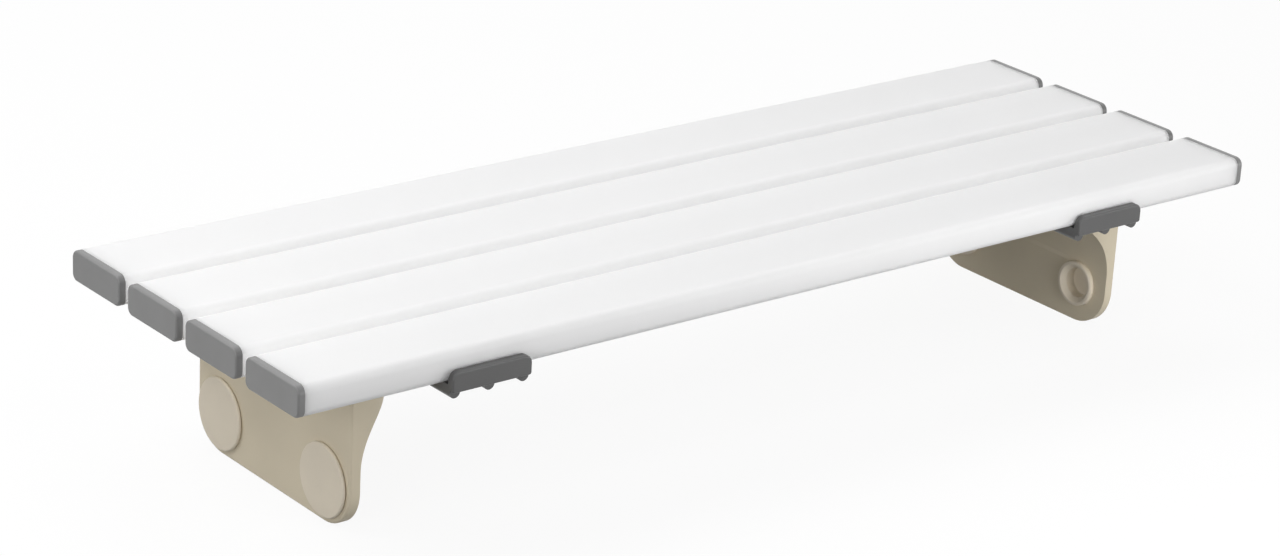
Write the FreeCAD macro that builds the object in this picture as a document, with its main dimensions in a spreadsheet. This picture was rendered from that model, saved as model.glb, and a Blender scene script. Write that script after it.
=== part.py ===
import FreeCAD, Part
import math
import os
import Sketcher
from FreeCAD import Placement, Rotation, Vector

# Bath board: four hollow slats on two cross-bars, carried between the bath's walls by two sliding
# brackets with buffers. Millimetres. +X runs along the board, +Z up, and the origin lies on the
# surface that the brackets stand on, under the middle of the board.

doc = FreeCAD.newDocument("BathBoard")
sheet = doc.addObject("Spreadsheet::Sheet", "Sizes")

# Driving dimensions: name, value, what it is
DRIVING = (
    # The board
    ("BoardLength", 685.0, "over the end caps"),
    ("SlatWidth", 50.0, "one slat"),
    ("SlatGap", 25.0 / 3, "between two slats, so that four of them make 225"),
    ("SlatHeight", 18.0, "one slat"),
    ("SlatTopRadius", 4.8, "upper corners of the slat"),
    ("SlatFootRadius", 4.4, "lower corners of the slat"),
    ("SlatWall", 1.8, "walls and webs of the slat"),
    ("CellRadius", 1.2, "corners inside the slat"),
    # The end caps
    ("CapFlange", 4.2, "thickness of the part that shows"),
    ("CapEdgeRadius", 0.9, "rounding of the cap's outer edge"),
    ("CapPlugLength", 16.0, "how far the plugs reach into the slat"),
    ("CapPlugWall", 1.6, "wall of each hollow plug"),
    ("PlugClearance", 0.15, "between a plug and the slat's cell"),
    # The cross-bars
    ("BarWidth", 51.0, "along the board"),
    ("BarThickness", 4.0, "plate under the slats"),
    ("RibWidth", 6.8, "each of the three ribs"),
    ("RibDepth", 8.0, "from the slats down to the ribs' lowest line"),
    ("RibRecess", 3.0, "ribs end this far behind the lip's face"),
    ("LipGap", 1.1, "between the slat's edge and the lip"),
    ("LipThickness", 4.4, "lip"),
    ("LipHeight", 7.7, "lip above the slats' underside"),
    ("LipCornerRadius", 5.0, "upper corners of the lip"),
    ("LipFootRadius", 1.5, "lower corners of the lip"),
    ("LipEdgeRadius", 1.0, "rounding round the lip's face"),
    # The brackets
    ("BracketDrop", 94.5, "from the slats' underside to the bracket's foot"),
    ("RimRest", 42.5, "board's end from the buffers' faces, when set for the widest bath"),
    ("Travel", 50.0, "how far each bracket slides"),
    ("LeftSetback", 13.5, "left bracket's place as shown, in from its widest setting"),
    ("RightSetback", 18.5, "right bracket's place as shown, in from its widest setting"),
    ("PlateThickness", 6.5, "bracket's plate"),
    ("FlangeThickness", 8.6, "bracket's flange"),
    ("SlideGap", 0.3, "between the ribs and the flange"),
    ("PlateHalf", 75.2, "half the plate's width"),
    ("PlateCornerRadius", 24.2, "lower corners of the plate"),
    ("BracketFillet", 42.0, "sweep from the plate into the flange"),
    ("ShoulderRadius", 26.0, "outer sweep of the flange's shoulder"),
    ("NeckRadius", 10.0, "inner sweep of the flange's shoulder"),
    ("FlangeCornerRadius", 9.0, "corners at the flange's end"),
    ("FlangeMargin", 9.0, "from the slot to the flange's end"),
    ("SlotInset", 33.4, "slot's first centre from the plate's outer face"),
    ("BracketEdgeRadius", 1.5, "rounding round the plate's outer face"),
    ("ChannelClearance", 1.6, "round the knob in the bracket's channel"),
    # The buffers
    ("BufferRadius", 21.2, "disc"),
    ("BufferProud", 2.3, "disc's face from the plate"),
    ("BufferEdgeRadius", 1.6, "rounding of the disc"),
    ("BufferFootGap", 0.4, "shadow gap under the disc's rim"),
    ("BufferFootInset", 1.2, "how far the shadow gap goes in under the disc"),
    ("BufferStemRadius", 11.0, "stem through the plate"),
    ("BufferHollowRadius", 9.4, "hollow inside the stem"),
    ("BufferFaceWall", 2.6, "rubber left behind the disc's face"),
    ("CollarRadius", 14.3, "collar on the plate's inner side"),
    ("CollarHeight", 3.0, "collar"),
    ("CollarMouthRadius", 12.0, "mouth of the collar's cone"),
    ("CollarEdgeRadius", 1.1, "rounding of the collar"),
    ("SeatClearance", 0.4, "round the collar in its seat"),
    ("SeatDepth", 0.4, "how far the seat goes into the plate"),
    ("BufferClearance", 0.2, "between the stem and its hole"),
    # The clamps
    ("ClampPlaceY", 32.0, "bolt's axis from the board's middle line"),
    ("BoltRadius", 3.0, "shank"),
    ("BoltHeadFlats", 10.0, "across the flats"),
    ("BoltHeadHeight", 4.0, "head"),
    ("BoltTipGap", 1.7, "between the bolt's end and the knob's closed end"),
    ("BoltTipChamfer", 0.6, "end of the shank"),
    ("BoltClearance", 0.3, "round the shank, round the head and in the slot"),
    ("HeadRoom", 0.9, "between the head and the slats' underside"),
    ("BossRadius", 8.6, "boss round the bolt"),
    ("WasherRadius", 6.2, "washer"),
    ("WasherThickness", 1.4, "washer"),
    ("ClampSlack", 0.3, "between the flange and the washer"),
    ("KnobRadius", 13.0, "over the lobes"),
    ("KnobHeight", 15.0, "knob"),
    ("KnobNeckRadius", 8.4, "collar at the knob's top"),
    ("KnobNeckHeight", 3.0, "collar at the knob's top"),
    ("KnobFluteRadius", 4.2, "each hollow between two lobes"),
    ("KnobFluteDepth", 2.4, "how far a hollow cuts in"),
    ("KnobEdgeRadius", 1.2, "rounding of the knob's edges"),
    ("KnobFloor", 2.0, "closed end under the bolt"),
    ("KnobBoreRadius", 3.4, "bore under the insert"),
    ("InsertRadius", 4.6, "insert"),
    ("InsertLength", 10.0, "insert"),
    ("InsertClearance", 0.05, "between the insert and the knob"),
    ("ThreadClearance", 0.08, "between the insert and the bolt"),
    # The slats' screws
    ("ScrewRadius", 1.9, "shank"),
    ("ScrewLength", 11.0, "under the head"),
    ("ScrewPoint", 2.4, "length of the point"),
    ("ScrewTipRadius", 0.4, "blunt end of the point"),
    ("ScrewHeadRadius", 3.9, "head"),
    ("ScrewHeadHeight", 2.5, "head"),
    ("ScrewHeadCrown", 1.0, "rounding of the head"),
    ("ScrewClearance", 0.15, "round the screw in the bar and the slat"),
    # Cuts run past the faces that they open
    ("Overrun", 20.0, "for every through cut"),
)


class Size:
    """A length in mm, together with the same length written in the sheet's names."""

    def __init__(self, number, text):
        self.number = number
        self.text = text

    def join(self, sign, other, number):
        other_text = other.text if isinstance(other, Size) else "(" + repr(other) + ")"
        return Size(number, "(" + self.text + " " + sign + " " + other_text + ")")

    def __add__(self, other):
        return self.join("+", other, self.number + float(other))

    def __sub__(self, other):
        return self.join("-", other, self.number - float(other))

    def __mul__(self, other):
        return self.join("*", other, self.number * float(other))

    def __rmul__(self, other):
        return self * other

    def __truediv__(self, other):
        return self.join("/", other, self.number / float(other))

    def __neg__(self):
        return self * -1

    def __float__(self):
        return float(self.number)


class Sizes:
    """The sheet's cells, each reached by its name."""


s = Sizes()
for row, (name, number, note) in enumerate(DRIVING, start=1):
    cell = "B" + str(row)
    sheet.set("A" + str(row), name)
    sheet.set(cell, repr(number))
    sheet.set("C" + str(row), note)
    sheet.setAlias(cell, name)
    setattr(s, name, Size(number, "Sizes." + name))
doc.recompute()

ZERO = Size(0.0, "0")
SLATS = 4
CELLS = 3
RIBS = 3
LOBES = 6
HEX_SIDES = 6
HALF_TURN = 180
SHOULDER_SWEEP = math.radians(50)
SAME_PLACE = 1e-4
NO_LENGTH = 1e-9

# Sizes that follow from the driving ones
slat_length = s.BoardLength - 2 * s.CapFlange
slat_pitch = s.SlatWidth + s.SlatGap
board_half = (SLATS * s.SlatWidth + (SLATS - 1) * s.SlatGap) / 2
cell_width = (s.SlatWidth - (CELLS + 1) * s.SlatWall) / CELLS
cell_pitch = cell_width + s.SlatWall
slat_base = s.BracketDrop
rib_pitch = (s.BarWidth - s.RibWidth) / (RIBS - 1)
rib_gap = rib_pitch / 2
lip_face = board_half + s.LipGap + s.LipThickness
flange_top = s.RibDepth + s.SlideGap
flange_foot = flange_top + s.FlangeThickness
far_reach = s.BoardLength / 2 - s.RimRest
slot_far = s.SlotInset + s.Travel
slot_radius = s.BoltRadius + s.BoltClearance
flange_length = slot_far + slot_radius + s.FlangeMargin
clamp_place = far_reach - s.BufferProud - slot_far
bar_place = clamp_place + rib_gap
head_seat = s.BoltHeadHeight + s.HeadRoom
corner_drop = s.BracketDrop - s.PlateCornerRadius
corner_y = s.PlateHalf - s.PlateCornerRadius
both_radii = s.ShoulderRadius + s.NeckRadius
flange_half = s.PlateHalf - both_radii * (1 - math.cos(SHOULDER_SWEEP))
washer_top = flange_foot + s.ClampSlack
knob_top = washer_top + s.WasherThickness
knob_bore_end = s.KnobHeight - s.KnobFloor
bolt_length = knob_top + knob_bore_end - s.BoltTipGap - head_seat


def drive(feature, prop, size):
    """Bind one property of a feature to the sheet."""
    feature.setExpression(prop, size.text)


def new_body(label):
    """An empty body that carries a node's name."""
    body = doc.addObject("PartDesign::Body", label)
    body.Label = label
    return body


def origin_feature(body, role):
    """One of the body's own origin planes or axes."""
    return next(item for item in body.Origin.OriginFeatures if item.Role == role)


def new_sketch(body, name, role, offset=ZERO):
    """A sketch on one of the body's origin planes, shifted along the plane's normal."""
    sketch = body.newObject("Sketcher::SketchObject", name)
    sketch.AttachmentSupport = [(origin_feature(body, role), "")]
    sketch.MapMode = "FlatFace"
    if offset is not ZERO:
        sketch.AttachmentOffset = Placement(Vector(0, 0, float(offset)), Rotation())
        drive(sketch, "AttachmentOffset.Base.z", offset)
    return sketch


def point(x, y):
    return Vector(float(x), float(y), 0)


def constrain(sketch, rules):
    """Add rules given as (kind, places, size), and bind the sized ones to the sheet."""
    made = []
    for kind, places, size in rules:
        values = () if size is None else (float(size),)
        made.append(Sketcher.Constraint(kind, *places, *values))
    for index, (kind, places, size) in zip(sketch.addConstraint(made), rules):
        if size is not None:
            drive(sketch, "Constraints[" + str(index) + "]", size)


def pins(geo, pos, x=None, y=None):
    """Rules that hold a point of a sketch at x and y, measured from the sketch's origin."""
    rules = []
    for size, kind, axis in ((x, "DistanceX", -2), (y, "DistanceY", -1)):
        if size is None:
            continue
        if abs(float(size)) < NO_LENGTH:
            rules.append(("PointOnObject", (geo, pos, axis), None))
        else:
            rules.append((kind, (-1, 1, geo, pos), size))
    return rules


def outline(sketch, path):
    """A closed outline, every corner held by the sheet.

    The path lists corners as (x, y). An arc between two corners is written between them as
    (centre x, centre y, turn), where turn is 1 for a left-hand bend and -1 for a right-hand one.
    """
    first = sketch.GeometryCount
    curves = []
    rules = []
    ends = []
    bend = None
    start = None
    for item in path + path[:1]:
        if len(item) == 3:
            bend = item
            continue
        if start is not None:
            geo = first + len(curves)
            begin, end = point(*start), point(*item)
            if bend is None:
                curves.append(Part.LineSegment(begin, end))
                ends.append((1, 2))
            else:
                centre = point(*bend[:2])
                low, high = (begin, end) if bend[2] > 0 else (end, begin)
                low_angle = math.atan2(low.y - centre.y, low.x - centre.x)
                high_angle = math.atan2(high.y - centre.y, high.x - centre.x)
                if high_angle < low_angle:
                    high_angle += 2 * math.pi
                whole = Part.Circle(centre, Vector(0, 0, 1), begin.distanceToPoint(centre))
                curves.append(Part.ArcOfCircle(whole, low_angle, high_angle))
                ends.append((1, 2) if bend[2] > 0 else (2, 1))
                chord = end - begin
                if abs(chord.y) < abs(chord.x):
                    rules += pins(geo, 3, y=bend[1])
                else:
                    rules += pins(geo, 3, x=bend[0])
            rules += pins(geo, ends[-1][0], *start)
        start, bend = item, None
    sketch.addGeometry(curves)
    count = len(curves)
    for index in range(count):
        following = (index + 1) % count
        places = (first + index, ends[index][1], first + following, ends[following][0])
        rules.append(("Coincident", places, None))
    constrain(sketch, rules)


def mirrored(path):
    """A path followed by its mirror image across the sketch's x axis."""
    image = []
    for item in reversed(path):
        image.append((item[0], -item[1]) + tuple(item[2:]))
    return path + image


def rectangle(sketch, low_x, high_x, low_y, high_y):
    outline(sketch, [(low_x, low_y), (high_x, low_y), (high_x, high_y), (low_x, high_y)])


def rounded_rectangle(sketch, low_x, high_x, low_y, high_y, foot, top):
    """A rectangle with one radius at its two lower corners and one at its two upper ones."""
    outline(sketch, [
        (low_x + foot, low_y),
        (high_x - foot, low_y),
        (high_x - foot, low_y + foot, 1),
        (high_x, low_y + foot),
        (high_x, high_y - top),
        (high_x - top, high_y - top, 1),
        (high_x - top, high_y),
        (low_x + top, high_y),
        (low_x + top, high_y - top, 1),
        (low_x, high_y - top),
        (low_x, low_y + foot),
        (low_x + foot, low_y + foot, 1),
    ])


def slot(sketch, near_x, far_x, y, radius):
    """A slot along x with round ends."""
    outline(sketch, [
        (near_x, y - radius),
        (far_x, y - radius),
        (far_x, y, 1),
        (far_x, y + radius),
        (near_x, y + radius),
        (near_x, y, 1),
    ])


def hexagon(sketch, x, y, apothem):
    """A regular hexagon with two sides along x."""
    corner = apothem / math.cos(math.pi / HEX_SIDES)
    corners = []
    for side in range(HEX_SIDES):
        angle = 2 * math.pi * side / HEX_SIDES
        corners.append((x + corner * math.cos(angle), y + corner * math.sin(angle)))
    outline(sketch, corners)


def circle(sketch, x, y, radius):
    geo = sketch.addGeometry(Part.Circle(point(x, y), Vector(0, 0, 1), float(radius)))
    constrain(sketch, pins(geo, 3, x, y) + [("Radius", (geo,), radius)])


def pad(body, sketch, length, both_ways=False, reverse=False):
    feature = body.newObject("PartDesign::Pad", sketch.Name + "Pad")
    feature.Profile = sketch
    feature.SideType = "Symmetric" if both_ways else "One side"
    feature.Reversed = reverse
    drive(feature, "Length", length)
    doc.recompute()
    return feature


def pocket(body, sketch, length, both_ways=False, reverse=False):
    """A cut, with a test that it took something away."""
    before = body.Shape.Volume
    feature = body.newObject("PartDesign::Pocket", sketch.Name + "Cut")
    feature.Profile = sketch
    feature.SideType = "Symmetric" if both_ways else "One side"
    feature.Reversed = reverse
    drive(feature, "Length", length)
    doc.recompute()
    if not body.Shape.Volume < before:
        raise RuntimeError(feature.Name + " cuts nothing")
    return feature


def revolve(body, sketch, axis):
    feature = body.newObject("PartDesign::Revolution", sketch.Name + "Turn")
    feature.Profile = sketch
    feature.ReferenceAxis = axis
    doc.recompute()
    return feature


def fillet(body, name, wanted, radius):
    """Round those edges of the body's present shape that pass a test."""
    base = body.Tip
    names = ["Edge" + str(n) for n, edge in enumerate(base.Shape.Edges, start=1) if wanted(edge)]
    if not names:
        raise RuntimeError(name + " finds no edge")
    feature = body.newObject("PartDesign::Fillet", name)
    feature.Base = (base, names)
    drive(feature, "Radius", radius)
    doc.recompute()
    return feature


def in_plane(axis, *places):
    """Test for edges whose every vertex lies in a plane across one axis, at one of the places."""
    def wanted(edge):
        for place in places:
            if all(abs(getattr(v, axis) - float(place)) < SAME_PLACE for v in edge.Vertexes):
                return True
        return False
    return wanted


def mirror(body, name, role, features=None):
    """Mirror some features, or the whole shape so far."""
    feature = body.newObject("PartDesign::Mirrored", name)
    if features is None:
        feature.TransformMode = "Whole shape"
    else:
        feature.Originals = features
    feature.MirrorPlane = (origin_feature(body, role), [""])
    body.Tip = feature
    doc.recompute()
    return feature


def polar(body, name, features, count):
    feature = body.newObject("PartDesign::PolarPattern", name)
    feature.Originals = features
    feature.Axis = (origin_feature(body, "Z_Axis"), [""])
    feature.Occurrences = count
    body.Tip = feature
    doc.recompute()
    return feature


def put(body, x, y, z, turn=0):
    """Place a body, turned about its own upright axis by whole degrees."""
    body.Placement = Placement(Vector(float(x), float(y), float(z)), Rotation(Vector(0, 0, 1), turn))
    for axis, size in (("x", x), ("y", y), ("z", z)):
        drive(body, "Placement.Base." + axis, size)
    return body


def side_word(side):
    return "left" if side < 0 else "right"


def row_word(row):
    return "front" if row < 0 else "rear"


def slat_y(index):
    """Middle of a slat, counted from the front."""
    return slat_pitch * (index - (SLATS - 1) / 2)


def cell_middle(cell):
    return cell_pitch * (cell - (CELLS - 1) / 2)


def screw_cell(index):
    """The cell that a slat's screws enter: the middle one, or the one by the board's middle line."""
    return (1, 2, 0, 1)[index]


def screw_y(index):
    return slat_y(index) + cell_middle(screw_cell(index))


def slat_outline(sketch):
    """The slat's section, lying on the slat's base line."""
    half = s.SlatWidth / 2
    rounded_rectangle(sketch, -half, half, ZERO, s.SlatHeight, s.SlatFootRadius, s.SlatTopRadius)


def make_slat(index):
    """Hollow extruded slat with two webs, and pilot holes for the screws from below."""
    body = new_body("slat_" + str(index + 1))
    section = new_sketch(body, "Section", "YZ_Plane")
    slat_outline(section)
    for cell in range(CELLS):
        middle, half = cell_middle(cell), cell_width / 2
        rounded_rectangle(
            section, middle - half, middle + half, s.SlatWall, s.SlatHeight - s.SlatWall,
            s.CellRadius, s.CellRadius,
        )
    pad(body, section, slat_length, both_ways=True)
    holes = new_sketch(body, "PilotHoles", "XY_Plane")
    for side in (-1, 1):
        for gap in (-1, 1):
            x = side * bar_place + gap * rib_gap
            circle(holes, x, cell_middle(screw_cell(index)), s.ScrewRadius + s.ScrewClearance)
    pocket(body, holes, s.SlatHeight / 2, reverse=True)
    return put(body, ZERO, slat_y(index), slat_base)


def make_cap(side, index):
    """End cap: a flange with the slat's outline, and three hollow plugs."""
    body = new_body("end_cap_" + side_word(side) + "_" + str(index + 1))
    flange = new_sketch(body, "Flange", "YZ_Plane")
    slat_outline(flange)
    pad(body, flange, s.CapFlange)
    fillet(body, "OuterEdge", in_plane("X", s.CapFlange), s.CapEdgeRadius)
    inset = s.SlatWall + s.PlugClearance
    bore_inset = inset + s.CapPlugWall
    plugs = new_sketch(body, "Plugs", "YZ_Plane")
    for cell in range(CELLS):
        middle = cell_middle(cell)
        half = cell_width / 2 - s.PlugClearance
        bore = half - s.CapPlugWall
        rounded_rectangle(
            plugs, middle - half, middle + half, inset, s.SlatHeight - inset,
            s.CellRadius, s.CellRadius,
        )
        rectangle(plugs, middle - bore, middle + bore, bore_inset, s.SlatHeight - bore_inset)
    pad(body, plugs, s.CapPlugLength, reverse=True)
    turn = 0 if side > 0 else HALF_TURN
    return put(body, side * slat_length / 2, slat_y(index), slat_base, turn)


def rib_section(sketch, middle, half, low, high):
    """A rib's section: straight sides and a half-round foot."""
    outline(sketch, [
        (middle - half, high),
        (middle - half, low + half),
        (middle, low + half, 1),
        (middle + half, low + half),
        (middle + half, high),
    ])


def make_cross_bar(side):
    """Moulded bar under the slats: a plate, three ribs, a lip at each end and two bolt bosses."""
    body = new_body("cross_bar_" + side_word(side))
    half = s.BarWidth / 2
    root = s.BarThickness / 2
    plate = new_sketch(body, "Plate", "XZ_Plane")
    rectangle(plate, -half, half, -s.BarThickness, ZERO)
    pad(body, plate, 2 * lip_face - s.LipThickness, both_ways=True)
    ribs = new_sketch(body, "Ribs", "XZ_Plane")
    for rib in range(RIBS):
        middle = rib_pitch * (rib - (RIBS - 1) / 2)
        rib_section(ribs, middle, s.RibWidth / 2, -s.RibDepth, -root)
    pad(body, ribs, 2 * (lip_face - s.RibRecess), both_ways=True)
    lip = new_sketch(body, "Lip", "XZ_Plane", lip_face - s.LipThickness)
    rounded_rectangle(
        lip, -half, half, -s.BarThickness, s.LipHeight, s.LipFootRadius, s.LipCornerRadius
    )
    front_lip = pad(body, lip, s.LipThickness)
    mirror(body, "RearLip", "XZ_Plane", [front_lip])
    bosses = new_sketch(body, "Bosses", "XY_Plane", -root)
    for row in (-1, 1):
        circle(bosses, -rib_gap, row * s.ClampPlaceY, s.BossRadius)
    pad(body, bosses, s.RibDepth - root, reverse=True)
    fillet(body, "LipEdges", in_plane("Y", -lip_face, lip_face), s.LipEdgeRadius)
    heads = new_sketch(body, "HeadPockets", "XY_Plane")
    shanks = new_sketch(body, "BoltHoles", "XY_Plane")
    for row in (-1, 1):
        place = row * s.ClampPlaceY
        hexagon(heads, -rib_gap, place, s.BoltHeadFlats / 2 + s.BoltClearance)
        circle(shanks, -rib_gap, place, slot_radius)
    pocket(body, heads, head_seat)
    pocket(body, shanks, s.RibDepth + s.Overrun)
    holes = new_sketch(body, "ScrewHoles", "XY_Plane")
    for gap in (-1, 1):
        for index in range(SLATS):
            circle(holes, gap * rib_gap, screw_y(index), s.ScrewRadius + s.ScrewClearance)
    pocket(body, holes, s.BarThickness + s.Overrun)
    turn = 0 if side > 0 else HALF_TURN
    return put(body, side * bar_place, ZERO, slat_base, turn)


def make_screws(side):
    """Pan-head screws from below, through the bar's plate into the slats' lower walls."""
    body = new_body("slat_screws_" + side_word(side))
    body.AllowCompound = True
    turned = []
    under = -s.BarThickness
    crown = under - s.ScrewHeadHeight + s.ScrewHeadCrown
    tip = under + s.ScrewLength
    for index in (SLATS // 2, SLATS - 1):
        sketch = new_sketch(body, "Screw", "XZ_Plane", -screw_y(index))
        x = rib_gap
        outline(sketch, [
            (x, tip),
            (x, under - s.ScrewHeadHeight),
            (x + s.ScrewHeadRadius - s.ScrewHeadCrown, under - s.ScrewHeadHeight),
            (x + s.ScrewHeadRadius - s.ScrewHeadCrown, crown, 1),
            (x + s.ScrewHeadRadius, crown),
            (x + s.ScrewHeadRadius, under),
            (x + s.ScrewRadius, under),
            (x + s.ScrewRadius, tip - s.ScrewPoint),
            (x + s.ScrewTipRadius, tip),
        ])
        turned.append(revolve(body, sketch, (sketch, ["Edge1"])))
    mirror(body, "AcrossBar", "YZ_Plane", turned)
    mirror(body, "AlongBar", "XZ_Plane")
    return put(body, side * bar_place, ZERO, slat_base)


def plate_outline():
    """The plate seen from its side: upright edges and round lower corners."""
    return [
        (-corner_y, -s.BracketDrop),
        (corner_y, -s.BracketDrop),
        (corner_y, -corner_drop, 1),
        (s.PlateHalf, -corner_drop),
        (s.PlateHalf, ZERO),
        (-s.PlateHalf, ZERO),
        (-s.PlateHalf, -corner_drop),
        (-corner_y, -corner_drop, 1),
    ]


def flange_outline():
    """The bracket seen from above: shoulders that sweep in from the plate to a narrower flange."""
    cos_sweep, sin_sweep = math.cos(SHOULDER_SWEEP), math.sin(SHOULDER_SWEEP)
    neck_x = s.PlateThickness + both_radii * sin_sweep
    centre = s.PlateHalf - s.ShoulderRadius
    corner = s.FlangeCornerRadius
    return mirrored([
        (-s.Overrun / 2, -s.PlateHalf),
        (s.PlateThickness, -s.PlateHalf),
        (s.PlateThickness, -centre, 1),
        (s.PlateThickness + s.ShoulderRadius * sin_sweep, -centre - s.ShoulderRadius * cos_sweep),
        (neck_x, -flange_half - s.NeckRadius, -1),
        (neck_x, -flange_half),
        (flange_length - corner, -flange_half),
        (flange_length - corner, corner - flange_half, 1),
        (flange_length, corner - flange_half),
    ])


def make_bracket(side, place):
    """Angle bracket: plate down, flange in, swept together, slotted and channelled for the clamps."""
    body = new_body("bracket_" + side_word(side))
    sweep = s.BracketFillet
    inner = s.PlateThickness
    blank = new_sketch(body, "Blank", "XZ_Plane")
    outline(blank, [
        (ZERO, -s.BracketDrop),
        (inner, -s.BracketDrop),
        (inner, -flange_foot - sweep),
        (inner + sweep, -flange_foot - sweep, -1),
        (inner + sweep, -flange_foot),
        (flange_length, -flange_foot),
        (flange_length, -flange_top),
        (ZERO, -flange_top),
    ])
    pad(body, blank, 2 * s.PlateHalf, both_ways=True)
    far = s.PlateHalf + s.Overrun
    plate = new_sketch(body, "PlateSides", "YZ_Plane")
    rectangle(plate, -far, far, -s.BracketDrop - s.Overrun, s.Overrun)
    outline(plate, plate_outline())
    pocket(body, plate, 2 * (flange_length + s.Overrun), both_ways=True)
    flange = new_sketch(body, "Shoulders", "XY_Plane")
    rectangle(flange, -s.Overrun, flange_length + s.Overrun, -far, far)
    outline(flange, flange_outline())
    pocket(body, flange, s.BracketDrop + s.Overrun)
    fillet(body, "FaceEdge", in_plane("X", ZERO), s.BracketEdgeRadius)
    slots = new_sketch(body, "Slots", "XY_Plane")
    channels = new_sketch(body, "Channels", "XY_Plane", -flange_foot)
    for row in (-1, 1):
        aside = row * s.ClampPlaceY
        slot(slots, s.SlotInset, slot_far, aside, slot_radius)
        end = flange_length + s.Overrun
        slot(channels, s.SlotInset, end, aside, s.KnobRadius + s.ChannelClearance)
    pocket(body, slots, s.BracketDrop)
    pocket(body, channels, s.BracketDrop)
    bores = new_sketch(body, "BufferHoles", "YZ_Plane")
    seats = new_sketch(body, "CollarSeats", "YZ_Plane", s.PlateThickness - s.SeatDepth)
    for row in (-1, 1):
        aside = row * corner_y
        circle(bores, aside, -corner_drop, s.BufferStemRadius + s.BufferClearance)
        circle(seats, aside, -corner_drop, s.CollarRadius + s.SeatClearance)
    pocket(body, bores, s.PlateThickness + s.Overrun, reverse=True)
    pocket(body, seats, s.Overrun, reverse=True)
    turn = HALF_TURN if side > 0 else 0
    return put(body, side * place, ZERO, slat_base, turn)


def make_buffer(side, row, place):
    """Rubber buffer: a disc outside the plate, a hollow stem and a collar inside it."""
    body = new_body("buffer_" + side_word(side) + "_" + row_word(row))
    profile = new_sketch(body, "Profile", "XZ_Plane")
    face = -s.BufferProud
    edge = s.BufferEdgeRadius
    crest = s.PlateThickness + s.CollarHeight
    rim = s.CollarEdgeRadius
    outline(profile, [
        (face, ZERO),
        (face + s.BufferFaceWall, ZERO),
        (face + s.BufferFaceWall, s.BufferHollowRadius),
        (s.PlateThickness, s.BufferHollowRadius),
        (crest, s.CollarMouthRadius),
        (crest, s.CollarRadius - rim),
        (crest - rim, s.CollarRadius - rim, 1),
        (crest - rim, s.CollarRadius),
        (s.PlateThickness - s.SeatDepth, s.CollarRadius),
        (s.PlateThickness - s.SeatDepth, s.BufferStemRadius),
        (ZERO, s.BufferStemRadius),
        (ZERO, s.BufferRadius - s.BufferFootInset),
        (-s.BufferFootGap, s.BufferRadius - s.BufferFootInset),
        (-s.BufferFootGap, s.BufferRadius),
        (face + edge, s.BufferRadius),
        (face + edge, s.BufferRadius - edge, 1),
        (face, s.BufferRadius - edge),
    ])
    revolve(body, profile, (origin_feature(body, "X_Axis"), [""]))
    turn = HALF_TURN if side > 0 else 0
    return put(body, side * place, row * corner_y, slat_base - corner_drop, turn)


def make_bolt(side, row):
    """Hexagon bolt, its head held in the cross-bar's pocket."""
    body = new_body("clamp_bolt_" + side_word(side) + "_" + row_word(row))
    head = new_sketch(body, "Head", "XY_Plane")
    hexagon(head, ZERO, ZERO, s.BoltHeadFlats / 2)
    pad(body, head, s.BoltHeadHeight)
    shank = new_sketch(body, "Shank", "XY_Plane")
    circle(shank, ZERO, ZERO, s.BoltRadius)
    pad(body, shank, bolt_length, reverse=True)
    tip = in_plane("Z", -bolt_length)
    base = body.Tip
    names = ["Edge" + str(n) for n, edge in enumerate(base.Shape.Edges, start=1) if tip(edge)]
    chamfer = body.newObject("PartDesign::Chamfer", "Tip")
    chamfer.Base = (base, names)
    drive(chamfer, "Size", s.BoltTipChamfer)
    doc.recompute()
    return put(body, side * clamp_place, row * s.ClampPlaceY, slat_base - head_seat)


def make_washer(side, row):
    body = new_body("washer_" + side_word(side) + "_" + row_word(row))
    ring = new_sketch(body, "Ring", "XY_Plane")
    circle(ring, ZERO, ZERO, s.WasherRadius)
    circle(ring, ZERO, ZERO, slot_radius)
    pad(body, ring, s.WasherThickness, reverse=True)
    return put(body, side * clamp_place, row * s.ClampPlaceY, slat_base - washer_top)


def make_knob(side, row):
    """Lobed hand knob, bored from its top for the insert and the bolt."""
    body = new_body("hand_knob_" + side_word(side) + "_" + row_word(row))
    profile = new_sketch(body, "Profile", "XZ_Plane")
    edge = s.KnobEdgeRadius
    bore = s.InsertRadius + s.InsertClearance
    outline(profile, [
        (s.KnobNeckRadius, ZERO),
        (bore, ZERO),
        (bore, -s.InsertLength),
        (s.KnobBoreRadius, -s.InsertLength),
        (s.KnobBoreRadius, -knob_bore_end),
        (ZERO, -knob_bore_end),
        (ZERO, -s.KnobHeight),
        (s.KnobRadius - edge, -s.KnobHeight),
        (s.KnobRadius - edge, edge - s.KnobHeight, 1),
        (s.KnobRadius, edge - s.KnobHeight),
        (s.KnobRadius, -s.KnobNeckHeight - edge),
        (s.KnobRadius - edge, -s.KnobNeckHeight - edge, 1),
        (s.KnobRadius - edge, -s.KnobNeckHeight),
        (s.KnobNeckRadius, -s.KnobNeckHeight),
    ])
    revolve(body, profile, (origin_feature(body, "Z_Axis"), [""]))
    flute = new_sketch(body, "Flute", "XY_Plane")
    circle(flute, s.KnobRadius + s.KnobFluteRadius - s.KnobFluteDepth, ZERO, s.KnobFluteRadius)
    cut = pocket(body, flute, s.KnobHeight + s.Overrun)
    polar(body, "Lobes", [cut], LOBES)
    return put(body, side * clamp_place, row * s.ClampPlaceY, slat_base - knob_top)


def make_insert(side, row):
    body = new_body("knob_insert_" + side_word(side) + "_" + row_word(row))
    ring = new_sketch(body, "Ring", "XY_Plane")
    circle(ring, ZERO, ZERO, s.InsertRadius)
    circle(ring, ZERO, ZERO, s.BoltRadius + s.ThreadClearance)
    pad(body, ring, s.InsertLength, reverse=True)
    return put(body, side * clamp_place, row * s.ClampPlaceY, slat_base - knob_top)


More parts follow.
